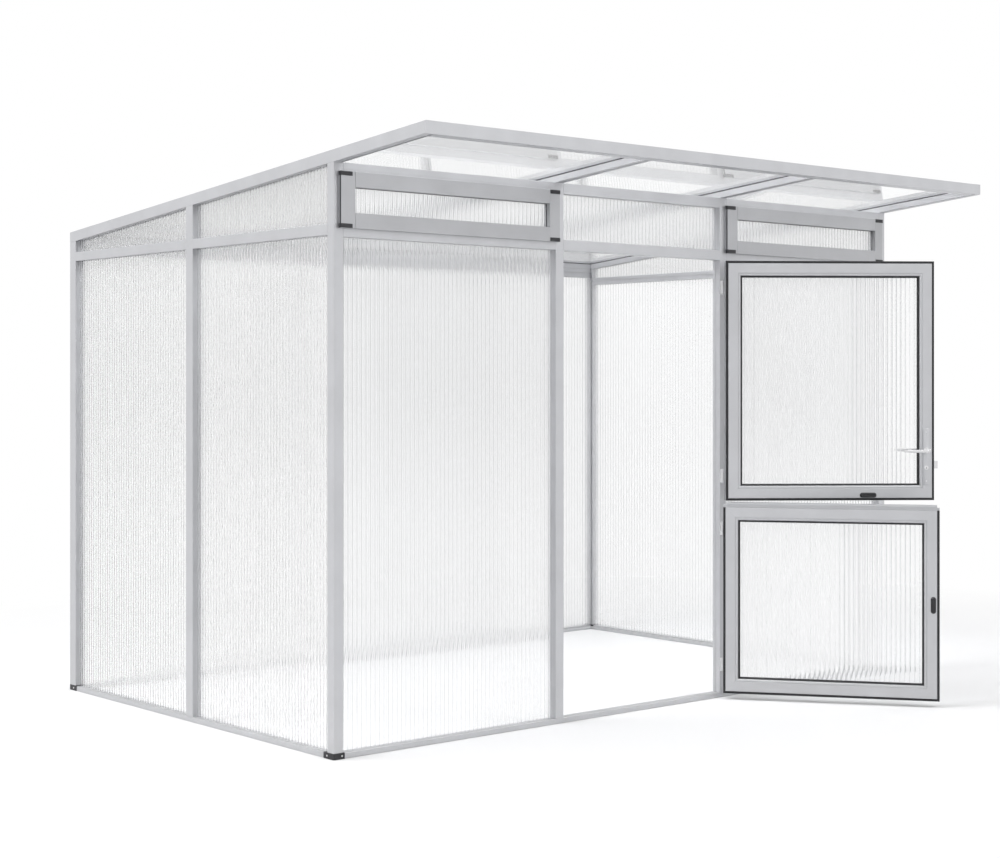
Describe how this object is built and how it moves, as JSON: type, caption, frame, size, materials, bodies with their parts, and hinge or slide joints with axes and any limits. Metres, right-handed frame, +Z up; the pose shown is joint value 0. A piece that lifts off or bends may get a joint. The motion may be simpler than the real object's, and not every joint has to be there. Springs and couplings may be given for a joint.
{
  "type": "greenhouse",
  "caption": "Lean-to style greenhouse in silver aluminium and ribbed twin-wall sheet, with a sloping clear roof and canopy, narrow transom vents and a stable door standing open.",
  "frame": {"origin": "middle of the underside of the front base rail, on the ground", "axes": "+X along the front wall to the right as seen from outside, +Y from the front wall to the back wall, +Z up"},
  "size_m": [3.094, 2.7177, 2.1899],
  "materials": {
    "frame": "satin anodised",
    "sheet": "clear ribbed twin-wall sheet",
    "pane": "clear glossy",
    "plastic": "matt black",
    "seal": "black rubber",
    "steel": "satin steel"
  },
  "bodies": {
    "house": {"base_front": "frame", "base_back": "frame", "base_sides": "frame", "corner_feet": "plastic", "post_front_left": "frame", "post_front_right": "frame", "post_back_left": "frame", "post_back_right": "frame", "jamb_left": "frame", "jamb_right": "frame", "posts_side_middle": "frame", "posts_back_middle": "frame", "rail_front_transom": "frame", "rail_front_head": "frame", "rails_side": "frame", "beam_back": "frame", "roof_bar_left": "frame", "roof_bar_right": "frame", "roof_rafters": "frame", "roof_fascia": "frame", "roof_bar_back": "frame", "roof_panes": "pane", "sheets_front": "sheet", "sheets_left": "sheet", "sheets_right": "sheet", "sheets_back": "sheet", "vent_left_sash": "frame", "vent_left_sheet": "sheet", "vent_right_sash": "frame", "vent_right_sheet": "sheet", "vent_caps": "plastic", "hinges_jamb": "steel"},
    "upper_leaf": {"door_upper_frame": "frame", "door_upper_seal": "seal", "door_upper_sheet": "sheet", "hinges_upper": "steel", "lock_plates": "steel", "lock_latch": "steel", "slide_knob_upper": "plastic"},
    "lower_leaf": {"door_lower_frame": "frame", "door_lower_seal": "seal", "door_lower_sheet": "sheet", "hinges_lower": "steel", "slide_knob_lower": "plastic"},
    "lever": {"lever_handle": "steel"}
  },
  "joints": [
    {"name": "upper_leaf_swing", "type": "hinge", "parent": "house", "child": "upper_leaf", "pos_m": [0.44, -0.042, 1.33], "axis": [0, 0, 1], "range_deg": [-142, 28]},
    {"name": "lower_leaf_swing", "type": "hinge", "parent": "house", "child": "lower_leaf", "pos_m": [0.44, -0.042, 0.42], "axis": [0, 0, 1], "range_deg": [-126, 44]},
    {"name": "lever_turn", "type": "hinge", "parent": "upper_leaf", "child": "lever", "pos_m": [1.11217, -0.56716, 1.038], "axis": [-0.6157, -0.788, 0], "range_deg": [0, 45], "stiffness_Nm_per_rad": 1.2, "springref_deg": -22.92}
  ]
}
